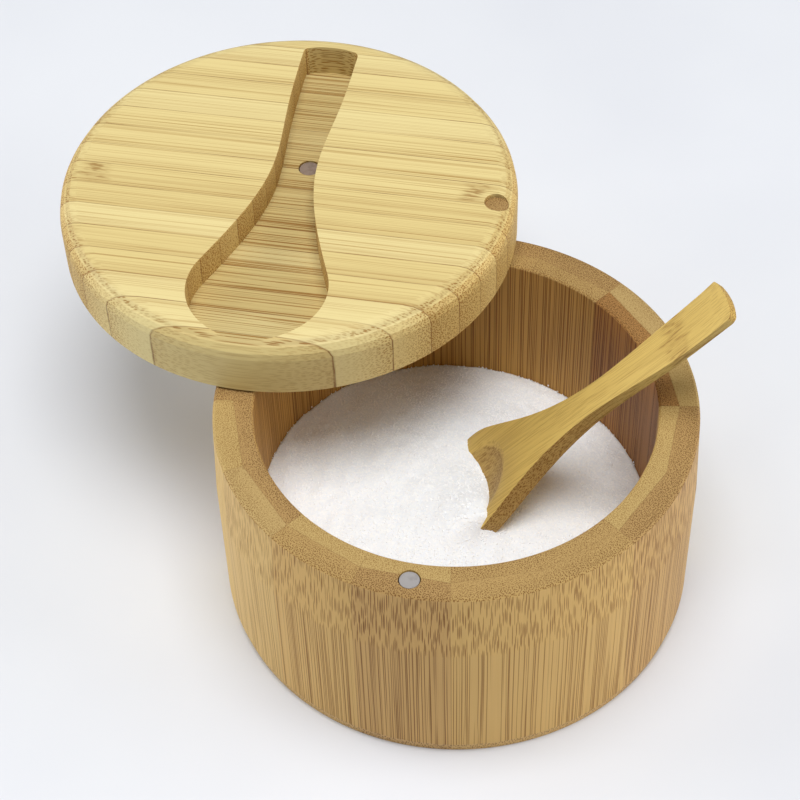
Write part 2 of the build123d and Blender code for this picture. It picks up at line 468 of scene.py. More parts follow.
@dataclass(frozen=True)
class BambooTone:
    """The colours of one slat, and how strongly its fibres show.

    Attributes:
        pale: The soft wood between the fibre bundles.
        fibre: The fibre bundles.
        bundles: How strongly the bundles show, 0 to 1.
        streaks: How strongly the fine streaks show, 0 to 1.
        shade: How much darker the slat is right under the stalk's skin.
        glue: How dark its glue lines are, 0 to 1.
        lines: How strongly long thin dark lines show, 0 to 1.
        end: What the colour is multiplied by where the grain is cut across.
        dots: How much more strongly the bundles show there.
        fineness: How much finer its fibre bundles are than usual.
        slant: How readily a slanting cut looks like one across the grain.
    """

    pale: Colour
    fibre: Colour
    bundles: float = 0.6
    streaks: float = 0.5
    shade: float = 0.2
    glue: float = 0.3
    lines: float = 0.0
    end: Colour = tint(207, 210, 220)
    dots: float = 0.55
    fineness: float = 1.25
    slant: float = 1.0


@dataclass(frozen=True)
class SlatFrame:
    """How a slat lies: X across, Y towards the stalk's skin, Z along its grain.

    Attributes:
        origin: The frame's origin, in metres.
        turn: Its three axes as the columns of a matrix.
        shift: Millimetres by which its pattern is moved, so that no two slats match.
    """

    origin: Vector
    turn: Matrix
    shift: Vector


class BambooGroup:
    """The shared node group that draws bamboo as a solid, cut by whatever surface is shown.

    It works in mm. A pattern's axes go across the slat, towards the stalk's skin and along the
    grain. The numbers of an edge say where something starts and ends, and those of a fade also
    how much there is of it at either end.
    """

    NAME = "bamboo_grain"
    INPUTS = {"Vector": ("Place", "Shift"),
              "Float": ("Skin", "Joint", "End", "Bundles", "Streaks", "Shade", "Glue", "Node",
                        "Lines", "Dots", "Specks", "Hollow"),
              "Color": ("Pale", "Fibre", "End Tint", "Hollow Tint")}
    OUTPUTS = {"Color": ("Colour",), "Float": ("Gloss", "Height")}
    RING_TINT = tint(140, 98, 42)
    GLUE_TINT = tint(126, 84, 38)

    WANDER = Pattern((0.09, 0.09, 0.016), 1.0)
    WANDER_REACH = (0.8, 0.8, 0.0)
    CUT_EDGE = (0.30, 0.90)
    COARSE_PITCH = 0.80
    COARSE_EDGE = (0.12, 0.30)
    COARSE_SHARE = 0.4
    FINE_PITCH = 0.41
    FINE_EDGE = (0.23, 0.38)
    FINE_INSIDE = 0.25
    FINE_NEAR_SKIN = 0.75

    FLECKS = Pattern((1.9, 1.9, 0.03), 3.0, 0.6)
    FLECK_SHARE = 0.9
    BROAD_STREAKS = Pattern((0.33, 0.33, 0.005))
    CLOUDS = Pattern((0.06, 0.06, 0.02))
    CLOUD_SHARE = 0.2
    CARVED_DOTS = 0.6
    BUNDLE_FADE = (0.30, 0.62, 0.6, 1.1)
    SKIN_STEEPNESS = 3.0
    LONG_LINES = Pattern((0.35, 2.3, 0.004), 1.5, 0.4)
    LINE_EDGE = (0.57, 0.68)
    LINE_FADE = (0.25, 0.6, 0.5, 1.1)
    SPECKS = Pattern((2.3, 2.3, 2.3), 1.0)
    SPECK_EDGE = (0.50, 0.62)

    RING_WAVES = Pattern((0.5, 0.5, 0.02), 1.0)
    RING_SWAY = 7.0
    RING_EDGE = (0.8, 4.2)
    RING_SHARE = 0.14
    RING_CUT_LOSS = 0.7
    DASHES = Pattern((1.5, 1.5, 0.22), 2.0, 0.6)
    DASH_EDGE = (0.46, 0.64)
    DASH_SHARE = 0.6
    GLUE_EDGE = (0.03 * MM, 0.17 * MM)
    GLUE_GAPS = Pattern((0.2, 0.2, 0.05))
    GLUE_FADE = (0.35, 0.62, 0.3, 1.0)

    ROUGHNESS = 0.50
    CORE_ROUGHNESS = 0.10
    FLECK_ROUGHNESS = 0.15
    CUT_ROUGHNESS = 0.14
    CORE_HEIGHT = 0.6
    FLECK_HEIGHT = 0.5
    GLUE_DEPTH = 0.9
    RELIEF_STRENGTH = 0.35
    RELIEF_DEPTH = 0.08
    SHEEN = 0.28

    def __init__(self) -> None:
        """Builds the group."""
        self.tree = bpy.data.node_groups.new(self.NAME, "ShaderNodeTree")
        declare(self.tree, "INPUT", self.INPUTS)
        declare(self.tree, "OUTPUT", self.OUTPUTS)
        self._draw(Bench(self.tree))

    def _draw(self, bench: Bench) -> None:
        """Adds the group's nodes.

        Args:
            bench: The group's bench.
        """
        given = bench.given()
        skin = given["Skin"].clamped()
        millimetres = bench.vector("SCALE", given["Place"], MM_PER_METRE)
        place = bench.vector("ADD", millimetres, given["Shift"])
        wander = bench.noise(place, self.WANDER, "Color")
        wander = bench.vector("SUBTRACT", wander, (0.5, 0.5, 0.5))
        wander = bench.vector("MULTIPLY", wander, self.WANDER_REACH)
        bent = bench.vector("ADD", place, wander)

        end = given["End"].ramp(*self.CUT_EDGE)
        coarse = bench.cells(bent, self.COARSE_PITCH).fall(*self.COARSE_EDGE)
        fine = bench.cells(bent, self.FINE_PITCH).fall(*self.FINE_EDGE)
        core = (coarse * (1 - skin) * self.COARSE_SHARE
                + fine * (self.FINE_INSIDE + self.FINE_NEAR_SKIN * skin))
        fleck = bench.noise(bent, self.FLECKS)
        dark = self._darkness(bench, given, place, bent, core, fleck, end)
        colour = bench.mix(dark, given["Pale"], given["Fibre"])
        ring = self._growth_ring(bench, given, place, bent) * (1 - end * self.RING_CUT_LOSS)
        colour = bench.mix(ring, colour, self.RING_TINT)
        line = given["Joint"].fall(*self.GLUE_EDGE) * given["Glue"]
        line = line * bench.noise(place, self.GLUE_GAPS).ramp(*self.GLUE_FADE)
        colour = bench.mix(line, colour, self.GLUE_TINT)
        colour = bench.mix(end, colour, given["End Tint"], "MULTIPLY")
        # Painted shade in the hollows and the scoop's dish, partly own colour; scoop sides darker.
        colour = bench.mix(given["Hollow"], colour, given["Hollow Tint"], "MULTIPLY")

        gloss = (self.ROUGHNESS + core * self.CORE_ROUGHNESS + fleck.swing(self.FLECK_ROUGHNESS)
                 + end * self.CUT_ROUGHNESS)
        height = core * self.CORE_HEIGHT + fleck * self.FLECK_HEIGHT - line * self.GLUE_DEPTH
        bench.make("NodeGroupOutput", {}, {"Colour": colour, "Gloss": gloss, "Height": height})

    def _darkness(self, bench: Bench, given: dict[str, Wire], place: Wire, bent: Wire,
                  core: Wire, fleck: Wire, end: Wire) -> Wire:
        """Works out how much of the fibres' colour a spot has.

        Args:
            bench: The group's bench.
            given: What comes into the group.
            place: The spot, in mm.
            bent: The spot, moved as the fibres wander.
            core: How much of it is in a fibre bundle.
            fleck: The fine streaks.
            end: How much the grain is cut across there.

        Returns:
            The share, 0 to 1.
        """
        broad = bench.noise(bent, self.BROAD_STREAKS)
        cloud = bench.noise(place, self.CLOUDS)
        dots = end.most(given["Hollow"] * self.CARVED_DOTS) * given["Dots"]
        dark = core * (given["Bundles"] + dots) * fleck.ramp(*self.BUNDLE_FADE)
        dark = dark + fleck.swing(given["Streaks"]) * self.FLECK_SHARE
        dark = dark + broad.swing(given["Streaks"]) + cloud.swing(self.CLOUD_SHARE)
        dark = dark + given["Skin"].clamped() ** self.SKIN_STEEPNESS * given["Shade"]
        lines = bench.noise(bent, self.LONG_LINES).ramp(*self.LINE_EDGE) * given["Lines"]
        dark = dark + lines * fleck.ramp(*self.LINE_FADE) * (1 - end)
        specks = bench.noise(place, self.SPECKS).ramp(*self.SPECK_EDGE)
        return (dark + specks * given["Specks"]).clamped()

    def _growth_ring(self, bench: Bench, given: dict[str, Wire], place: Wire,
                     bent: Wire) -> Wire:
        """Draws the dashed band where a growth ring of the stalk crosses the slat.

        Args:
            bench: The group's bench.
            given: What comes into the group.
            place: The spot, in mm.
            bent: The spot, moved as the fibres wander.

        Returns:
            How much of the ring's colour a spot has, 0 to 1.
        """
        along, start = bench.parts(place)[2], bench.parts(given["Shift"])[2]
        sway = bench.noise(place, self.RING_WAVES).swing(self.RING_SWAY)
        away = abs(along - start - given["Node"] + sway)
        dashes = bench.noise(bent, self.DASHES).ramp(*self.DASH_EDGE)
        return away.fall(*self.RING_EDGE) * (self.RING_SHARE + dashes * self.DASH_SHARE)

    def material(self, name: str, frame: SlatFrame, tone: BambooTone, cut: "Cut",
                 ring: float = NO_RING, hollow: Optional["Hollow"] = None) -> bpy.types.Material:
        """Makes one slat's material.

        Args:
            name: Its name.
            frame: How the slat lies.
            tone: Its colours.
            cut: What of the slat's thickness and joints the piece has.
            ring: Where a growth ring of the stalk crosses it, in mm along its grain.
            hollow: The hollow that is cut into it, if its faces are darker there.

        Returns:
            The material.
        """
        material, bench = empty_material(name)
        turn = frame.turn.to_euler("XYZ")
        where = bench.here()
        place = bench.make("ShaderNodeMapping", {"vector_type": "TEXTURE"},
                           {"Vector": where, "Location": frame.origin, "Rotation": turn})
        facing = bench.make("ShaderNodeMapping", {"vector_type": "TEXTURE"},
                            {"Vector": where.other("Normal"), "Rotation": turn})
        across, out, along = bench.parts(place)
        sideways, outward, endways = bench.parts(facing)
        pattern = bench.vector("MULTIPLY", place, (tone.fineness, tone.fineness, 1.0))
        sockets = {"Place": pattern, "Skin": cut.skin(out), "Joint": cut.joint(across, out),
                   "End": abs(endways) * tone.slant, "Shift": frame.shift, "Dots": tone.dots,
                   "Lines": abs(sideways) * tone.lines, "End Tint": tone.end,
                   "Pale": tone.pale, "Fibre": tone.fibre, "Bundles": tone.bundles,
                   "Streaks": tone.streaks, "Shade": tone.shade, "Glue": tone.glue,
                   "Node": ring}
        if hollow is not None:
            # Painted shade in the hollow, partly the cut faces' own colour.
            sockets.update({"Hollow": hollow.inside(bench, where), "Hollow Tint": hollow.tint})
        elif cut.sides_and_dish is not None:
            # The scoop's narrow sides painted darker, and painted shade in its dish.
            share = cut.sides_and_dish.share(out, along, sideways, outward)
            sockets.update({"Hollow": share, "Hollow Tint": cut.sides_and_dish.tint,
                            "Specks": share * cut.sides_and_dish.specks})
        colour = bench.make("ShaderNodeGroup", {"node_tree": self.tree}, sockets, "Colour")
        relief = bench.bump(colour.other("Height"), self.RELIEF_STRENGTH, self.RELIEF_DEPTH)
        bench.surface({"Base Color": colour, "Roughness": colour.other("Gloss"),
                       "Specular IOR Level": self.SHEEN, "Normal": relief})
        return material


@dataclass(frozen=True)
class DarkSidesAndDishShade:
    """Where a scoop is painted darker: its bowl's narrow sides, and its dish, with painted shade.

    Attributes:
        tint: What the colour is multiplied by there.
        specks: How strongly dark specks show there, 0 to 1.
        bowl_end: From where along the grain to where the bowl's sides go over into the
            handle's, in mm.
        handle_share: How much of it the handle's sides still show, 0 to 1.
        dish_level: From where along Y to where the face goes over into the dish, in mm.
        dish_end: The same for the dish's end along the grain, in mm.
        dish_share: How much of it the dish shows, 0 to 1.
        side_slant: How far a face is turned to X where it starts and ends to be a side.
        face_slant: The same for Y and the face.
    """

    tint: Colour = tint(223, 216, 226)
    specks: float = 0.42
    bowl_end: tuple[float, float] = (26.0, 50.0)
    handle_share: float = 0.35
    dish_level: tuple[float, float] = (1.55, 1.9)
    dish_end: tuple[float, float] = (15.0, 18.0)
    dish_share: float = 0.8
    side_slant: tuple[float, float] = (0.45, 0.85)
    face_slant: tuple[float, float] = (0.5, 0.7)

    def share(self, out: Wire, along: Wire, sideways: Wire, outward: Wire) -> Wire:
        """Tells how much a spot shows of it.

        Args:
            out: The spot's Y in the slat's frame, in metres.
            along: Its Z, in metres.
            sideways: The X of the surface's normal there.
            outward: The normal's Y.

        Returns:
            The share, 0 to 1.
        """
        along, out = along * MM_PER_METRE, out * MM_PER_METRE
        # The narrow sides, painted darker.
        side = abs(sideways).ramp(*self.side_slant)
        side = side * along.ramp(*self.bowl_end, 1.0, self.handle_share)
        # The dish, with painted shade.
        dish = out.fall(*self.dish_level) * outward.ramp(*self.face_slant)
        return side.most(dish * along.fall(*self.dish_end) * self.dish_share)


@dataclass(frozen=True)
class Cut:
    """The part of a stalk's wall that a slat is cut from, and where its glued faces are.

    Attributes:
        inner: Where the side away from the skin is, along Y, in mm.
        outer: Where the side next to the skin is; less than inner if the slat is turned round.
        half_width: Half of its width, in mm, or None for a mitred slat.
        mitre: Half of the angle between its mitred faces, in degrees, or None.
        faces: Where glued faces lie across Y, in mm.
        sides_and_dish: Its narrow sides painted darker and painted shade in its dish, or None.
    """

    inner: float
    outer: float
    half_width: Optional[float] = None
    mitre: Optional[float] = None
    faces: tuple[float, ...] = ()
    sides_and_dish: Optional[DarkSidesAndDishShade] = None

    def skin(self, out: Wire) -> Wire:
        """How near to the stalk's skin a spot is, 0 to 1."""
        return (out * MM_PER_METRE - self.inner) / (self.outer - self.inner)

    def joint(self, across: Wire, out: Wire) -> Wire:
        """Measures to the nearest glued face.

        Args:
            across: The spot's X in the slat's frame.
            out: Its Y.

        Returns:
            The distance, in metres.
        """
        near = None
        if self.mitre is not None:
            angle = math.radians(self.mitre)
            near = out * math.sin(angle) - abs(across) * math.cos(angle)
        if self.half_width is not None:
            near = self.half_width * MM - abs(across)
        for face in self.faces:
            gap = abs(out - face * MM)
            near = gap if near is None else near.least(gap)
        return near


@dataclass(frozen=True)
class Hollow:
    """An upright round hollow whose faces have painted shade, partly their own darker cut colour.

    Attributes:
        axis: Where its axis stands, in mm.
        radius: Its radius, in mm.
        low: The height of its lower end, in mm.
        high: The height of its upper end, in mm.
        tint: What its faces' colour is multiplied by, for the painted shade.
    """

    SIDE_EDGE = 0.15
    LOW_EDGE = 0.3
    HIGH_EDGE = 0.7

    axis: tuple[float, float]
    radius: float
    low: float
    high: float
    tint: Colour

    def inside(self, bench: Bench, where: Wire) -> Wire:
        """Tells whether a spot is in the hollow.

        Args:
            bench: The material's bench.
            where: The spot's place, in metres.

        Returns:
            1 inside and 0 outside, with soft ends.
        """
        place = bench.vector("SCALE", where, MM_PER_METRE)
        level = bench.parts(place)[2]
        place = bench.vector("SUBTRACT", place, (*self.axis, 0.0))
        flat = bench.vector("MULTIPLY", place, (1.0, 1.0, 0.0))
        reach = bench.make("ShaderNodeVectorMath", {"operation": "LENGTH"}, {0: flat}, "Value")
        mask = reach.fall(self.radius - self.SIDE_EDGE, self.radius + self.SIDE_EDGE)
        mask = mask * level.ramp(self.low, self.low + self.LOW_EDGE)
        return mask * level.fall(self.high - self.HIGH_EDGE, self.high)


class Tones(Enum):
    """The slats' tones."""

    TAN = BambooTone(tint(215, 175, 104), tint(144, 100, 45), 0.75, 0.30, 0.05)
    STRAW = BambooTone(tint(220, 184, 114), tint(156, 113, 54), 0.68, 0.30, 0.05)
    YELLOW = BambooTone(tint(224, 188, 114), tint(168, 124, 60), 0.50, 0.28, 0.05)
    BROWN = BambooTone(tint(208, 166, 99), tint(134, 91, 41), 0.85, 0.34, 0.08)
    DARK = BambooTone(tint(195, 143, 76), tint(116, 70, 27), 0.85, 0.36, 0.10)
    LID_PALE = BambooTone(tint(222, 205, 146), tint(168, 130, 68), 0.31, 0.20, 0.20, 0.85, 0.36,
                          tint(254, 241, 221), 1.3, 1.0)
    LID_WARM = BambooTone(tint(215, 195, 133), tint(160, 121, 62), 0.36, 0.22, 0.24, 0.85, 0.44,
                          tint(251, 237, 216), 1.4, 0.9)
    LID_STRAW = BambooTone(tint(219, 200, 139), tint(164, 127, 65), 0.34, 0.21, 0.22, 0.85,
                           0.40, tint(253, 239, 218), 1.35, 1.05)
    SCOOP = BambooTone(tint(214, 184, 103), tint(150, 110, 50), 0.40, 0.46, 0.10, 0.3, 0.2,
                       tint(238, 230, 222), 1.1, 1.2, 1.5)


# ---------------------------------------------------------------------------------------------
# Parts
# ---------------------------------------------------------------------------------------------


@dataclass
class Wall:
    """The turned ring of mitred staves, each glued up from two plies, and the bottom in it.

    Attributes:
        nodes: The solids' pieces, by name.
        bamboo: What makes their materials.
        stave_count: How many staves go round.
        joint_angle: The first mitre joint's bearing, in degrees.
        ply_radius: From the axis to the flat glue line between the plies, in mm.
        bore: The inside and a bit of the rim round it, with painted shade, partly its own colour.
        bottom_cut: The part of the stalk's wall that the bottom's slats are cut from.
        bottom_shift: How far its pattern is moved, in mm.
        seed: What the shifts of the plies' patterns follow from.
        outer_tones: The outer plies' tones, and how far from the axis their fibres are sparse
            and dense, in mm, in order.
        inner_tones: The same for the inner plies, whose darker tones are partly painted shade.
    """

    nodes: dict[str, bpy.types.Object]
    bamboo: BambooGroup
    stave_count: int = 16
    joint_angle: float = 10.0
    ply_radius: float = 45.2
    # Painted shade inside the box, partly the cut faces' own colour.
    bore: Hollow = Hollow((0.0, 0.0), 42.2, 8.2, 52.3, tint(229, 216, 184))
    bottom_cut: Cut = Cut(8.0, 0.0, half_width=UNGLUED)
    bottom_shift: tuple[float, float, float] = (310, 40, 77)
    seed: int = 16
    outer_tones: tuple[tuple[Tones, float, float], ...] = (
        (Tones.YELLOW, 46.0, 50.5), (Tones.STRAW, 46.5, 51.0), (Tones.BROWN, 43.0, 49.5),
        (Tones.BROWN, 43.0, 49.5), (Tones.TAN, 45.0, 50.0), (Tones.TAN, 44.5, 50.0),
        (Tones.BROWN, 43.0, 49.5), (Tones.BROWN, 43.0, 49.5), (Tones.YELLOW, 53.0, 46.0),
        (Tones.STRAW, 46.0, 50.0), (Tones.TAN, 43.5, 49.5), (Tones.BROWN, 43.0, 49.5),
        (Tones.TAN, 45.0, 50.0), (Tones.TAN, 44.0, 49.6), (Tones.BROWN, 43.0, 49.5),
        (Tones.BROWN, 43.0, 49.5))
    # Darker tones on the inner right and back: partly their own tone, partly painted shade.
    inner_tones: tuple[tuple[Tones, float, float], ...] = (
        (Tones.DARK, 46.0, 41.0), (Tones.DARK, 46.0, 41.0), (Tones.TAN, 47.0, 41.0),
        (Tones.TAN, 47.0, 41.0), (Tones.TAN, 46.0, 41.0), (Tones.TAN, 46.0, 41.0),
        (Tones.BROWN, 46.0, 41.0), (Tones.BROWN, 46.0, 41.0), (Tones.BROWN, 46.0, 41.0),
        (Tones.BROWN, 46.5, 41.0), (Tones.YELLOW, 49.0, 41.0), (Tones.YELLOW, 49.0, 41.0),
        (Tones.TAN, 49.0, 41.0), (Tones.TAN, 47.0, 41.0), (Tones.YELLOW, 50.0, 41.0),
        (Tones.YELLOW, 50.0, 41.0))

    def dress(self) -> None:
        """Gives each ply and the bottom its material."""
        chance = random.Random(self.seed)
        step = 360 / self.stave_count
        for index in range(self.stave_count):
            bearing = self.joint_angle + (index + 0.5) * step
            turn = Matrix.Rotation(math.radians(bearing - 90), 3, "Z")
            plies = (("stave_outer", self.outer_tones[index], None),
                     ("stave_inner", self.inner_tones[index], self.bore))
            for kind, (tone, sparse, dense), hollow in plies:
                name = f"{kind}_{index + 1:02d}"
                frame = SlatFrame(Vector((0, 0, 0)), turn, random_shift(chance))
                cut = Cut(sparse, dense, mitre=step / 2, faces=(self.ply_radius,))
                material = self.bamboo.material(name, frame, tone.value, cut, hollow=hollow)
                place_material(self.nodes[name], material)
        self._dress_bottom()

    def _dress_bottom(self) -> None:
        """Gives the bottom its material, a panel of flat slats with their skin side down."""
        turn = Matrix(((1, 0, 0), (0, 0, 1), (0, -1, 0)))
        frame = SlatFrame(Vector((0, 0, 0)), turn, Vector(self.bottom_shift))
        material = self.bamboo.material("bottom_disc", frame, Tones.TAN.value, self.bottom_cut)
        place_material(self.nodes["bottom_disc"], material)


@dataclass
class Lid:
    """The disc of glued strips that swivels on the pivot.

    Attributes:
        nodes: The solids' pieces, by name.
        bamboo: What makes their materials.
        strip_count: How many strips it has.
        strip_width: Their width, in mm.
        joint_offset: From its centre to the nearest glue line, in mm.
        centre: Its centre at rest, in mm.
        middle_height: The height of the strips' middle, in mm.
        opened: How far it is swivelled open at rest, in degrees.
        carved: Its recess and holes, inside its edge, with painted shade, partly their own colour.
        rings: Where a growth ring crosses a strip, by its number, in mm towards the pivot.
        tones: The tones that its strips are picked from.
        skin_first_share: How many of its strips have the skin on the same side, 0 to 1.
        seed: What the picks follow from.
    """

    nodes: dict[str, bpy.types.Object]
    bamboo: BambooGroup
    strip_count: int = 16
    strip_width: float = 6.45
    joint_offset: float = 1.15
    centre: tuple[float, float] = (-45.98, 44.63)
    middle_height: float = 59.6
    opened: float = 88.3
    # Painted shade in the lid's recess and holes, partly the cut faces' own colour.
    carved: Hollow = Hollow((-45.98, 44.63), 48.6, 53.0, 66.6, tint(241, 239, 236))
    rings: dict[int, float] = field(default_factory=lambda: {6: -47.0, 8: 41.0, 9: -42.5})
    tones: tuple[Tones, ...] = (Tones.LID_PALE, Tones.LID_WARM, Tones.LID_STRAW)
    skin_first_share: float = 0.6
    seed: int = 7

    def dress(self) -> None:
        """Gives each strip its material."""
        chance = random.Random(self.seed)
        spin = Matrix.Rotation(-math.radians(self.opened), 3, "Z")
        across, along = spin @ Vector((1, 0, 0)), spin @ Vector((0, 1, 0))
        turn = Matrix((Vector((0, 0, 1)), across, along)).transposed()
        middle = Vector((*self.centre, self.middle_height)) * MM
        half = self.strip_width / 2
        for index in range(self.strip_count):
            name = f"lid_strip_{index + 1:02d}"
            offset = self.joint_offset + (index - self.strip_count / 2 + 0.5) * self.strip_width
            frame = SlatFrame(middle + across * offset * MM, turn, random_shift(chance))
            sides = (-half, half) if chance.random() < self.skin_first_share else (half, -half)
            cut = Cut(*sides, faces=(-half, half))
            tone = self.tones[chance.randrange(len(self.tones))].value
            ring = self.rings.get(index + 1, NO_RING)
            material = self.bamboo.material(name, frame, tone, cut, ring, self.carved)
            place_material(self.nodes[name], material)


@dataclass
class Scoop:
    """The carved scoop standing in the salt, with the edges that sanding has softened.

    Attributes:
        nodes: The solids' pieces, by name.
        bamboo: What makes its material.
        centre: Its bowl's centre, in mm.
        slope: How steeply its handle rises, in degrees.
        bearing: The bearing that it leans to, in degrees.
        ring: Where a growth ring crosses its handle, in mm from the bowl's centre.
        trim: How much further its handle's end is cut back on its left than on its right, in mm.
        trimmed_length: How far from the end that reaches, in mm.
        end_width: The handle's width there, in mm.
        softened: How wide its rounded edges are, in mm.
        rounds: How many steps round them.
        sharpest: The least angle between faces that is an edge, in degrees.
        merged: How near two corners of the solid are where they are one, in mm.
        cut: The part of the stalk's wall that it is carved from.
        shift: How far its pattern is moved, in mm.
    """

    nodes: dict[str, bpy.types.Object]
    bamboo: BambooGroup
    centre: tuple[float, float, float] = (4.9, 2.5, 22.8)
    slope: float = 50.0
    bearing: float = 11.4
    ring: float = 61.0
    trim: float = 3.0
    trimmed_length: float = 9.0
    end_width: float = 11.0
    softened: float = 0.45
    rounds: int = 3
    sharpest: float = 38.0
    merged: float = 0.002
    # Its narrow sides are painted darker and its dish gets painted shade.
    cut: Cut = Cut(-4.0, 4.0, half_width=UNGLUED, sides_and_dish=DarkSidesAndDishShade())
    shift: tuple[float, float, float] = (120, 300, 210)

    def _axes(self) -> tuple[Vector, Vector]:
        """Finds which way the scoop lies.

        Returns:
            The directions along its handle and to its left.
        """
        slope, bearing = math.radians(self.slope), math.radians(self.bearing)
        up = Vector((math.cos(slope) * math.cos(bearing), math.cos(slope) * math.sin(bearing),
                     math.sin(slope)))
        return up, Vector((-math.sin(bearing), math.cos(bearing), 0))

    def _trim_end(self, made: bmesh.types.BMesh) -> None:
        """Cuts the handle's end back on its left.

        Args:
            made: The scoop's mesh.
        """
        up, side = self._axes()
        middle = Vector(self.centre) * MM
        tip = max((corner.co - middle).dot(up) for corner in made.verts)
        for corner in made.verts:
            place = corner.co - middle
            near = 1 - (tip - place.dot(up)) / (self.trimmed_length * MM)
            left = place.dot(side) / (self.end_width * MM) + 0.5
            share = max(near, 0.0) * min(max(left, 0.0), 1.0)
            corner.co -= up * (self.trim * MM * share)

    def _carve(self) -> bpy.types.Object:
        """Copies the scoop's solid, trims its end and rounds its edges.

        Returns:
            The new piece.
        """
        made = bmesh.new()
        made.from_mesh(self.nodes["scoop"].data)
        bmesh.ops.remove_doubles(made, verts=made.verts, dist=self.merged * MM)
        self._trim_end(made)
        bmesh.ops.recalc_face_normals(made, faces=made.faces)
        scoop = add_piece("carved_scoop", finished("carved_scoop", made))
        bevel = scoop.modifiers.new("softened", "BEVEL")
        bevel.width = self.softened * MM
        bevel.segments = self.rounds
        bevel.limit_method = "ANGLE"
        bevel.angle_limit = math.radians(self.sharpest)
        scoop.data = worked_out(scoop)
        scoop.modifiers.clear()
        scoop.data.shade_smooth()
        scoop.data.set_sharp_from_angle(angle=math.radians(self.sharpest))
        return scoop

    def build(self) -> None:
        """Builds and dresses the scoop, in place of its solid."""
        up, side = self._axes()
        turn = Matrix((side, up.cross(side), up)).transposed()
        frame = SlatFrame(Vector(self.centre) * MM, turn, Vector(self.shift))
        material = self.bamboo.material("scoop", frame, Tones.SCOOP.value, self.cut, self.ring)
        piece = self._carve()
        place_material(piece, material)
        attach(piece, "scoop")
        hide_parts("scoop")
        log.info("built %s", piece.name)


# ---------------------------------------------------------------------------------------------
# Metal
# ---------------------------------------------------------------------------------------------


@dataclass(frozen=True)
class MetalFinish:
    """A metal's look.

    Attributes:
        bright: Its colour where it is polished.
        dull: Its colour where it is stained.
        roughness: How rough it is.
        grain: How often its marks repeat in a metre.
        metal: How much of a mirror it is, 0 to 1.
    """

    STAIN_DETAIL = (4.0, 0.6)
    STAIN_EDGE = (0.4, 0.65)
    STAIN_ROUGHNESS = 0.25
    SCRATCH_FINENESS = 8
    SCRATCH_ROUGHNESS = 0.15
    SCRATCH_STRENGTH = 0.2
    SCRATCH_DEPTH = 0.03

    bright: Colour
    dull: Colour
    roughness: float
    grain: float
    metal: float

    def material(self, name: str) -> bpy.types.Material:
        """Makes the metal's material.

        Args:
            name: Its name.

        Returns:
            The material.
        """
        material, bench = empty_material(name)
        where = bench.here()
        fine = self.grain * self.SCRATCH_FINENESS
        stain = bench.noise(where, Pattern((self.grain,) * 3, *self.STAIN_DETAIL))
        scratch = bench.noise(where, Pattern((fine, self.grain, fine)))
        colour = bench.mix(stain.ramp(*self.STAIN_EDGE), self.bright, self.dull)
        rough = (self.roughness + stain.swing(self.STAIN_ROUGHNESS)
                 + scratch.swing(self.SCRATCH_ROUGHNESS))
        relief = bench.bump(scratch, self.SCRATCH_STRENGTH, self.SCRATCH_DEPTH)
        bench.surface({"Base Color": colour, "Roughness": rough, "Metallic": self.metal,
                       "Normal": relief})
        return material


class Metals(Enum):
    """The metals of the fittings."""

    MAGNET = MetalFinish(tint(184, 180, 179), tint(166, 161, 160), 0.42, 500.0, 0.55)
    DARK_MAGNET = MetalFinish(tint(176, 156, 142), tint(152, 134, 122), 0.45, 500.0, 0.55)
    SCREW = MetalFinish(tint(196, 194, 190), tint(150, 146, 140), 0.34, 700.0, 0.9)


@dataclass
class Fittings:
    """The magnets, the pivot's screw and the discs that close their holes.

    Attributes:
        nodes: The solids' pieces, by name.
        bamboo: What makes the plug's material.
        plug_cut: From the plug's middle to the sides of the slat it is cut from, in mm.
        plug_shift: How far its pattern is moved, in mm.
    """

    METALS = {"rim_magnet": Metals.MAGNET, "lid_magnet": Metals.MAGNET,
              "keeper_magnet": Metals.DARK_MAGNET, "scoop_disc": Metals.SCREW,
              "pivot_screw": Metals.SCREW}

    nodes: dict[str, bpy.types.Object]
    bamboo: BambooGroup
    plug_cut: float = 3.0
    plug_shift: tuple[float, float, float] = (33, 71, 11)

    def dress(self) -> None:
        """Gives each fitting its material."""
        for name, metal in self.METALS.items():
            place_material(self.nodes[name], metal.value.material(name))
        frame = SlatFrame(Vector((0, 0, 0)), Matrix.Identity(3), Vector(self.plug_shift))
        low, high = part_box("pivot_plug")
        middle = (low[1] + high[1]) / 2 / MM
        cut = Cut(middle - self.plug_cut, middle + self.plug_cut, half_width=UNGLUED)
        material = self.bamboo.material("pivot_plug", frame, Tones.BROWN.value, cut)
        place_material(self.nodes["pivot_plug"], material)


# ---------------------------------------------------------------------------------------------
# Salt
# ---------------------------------------------------------------------------------------------


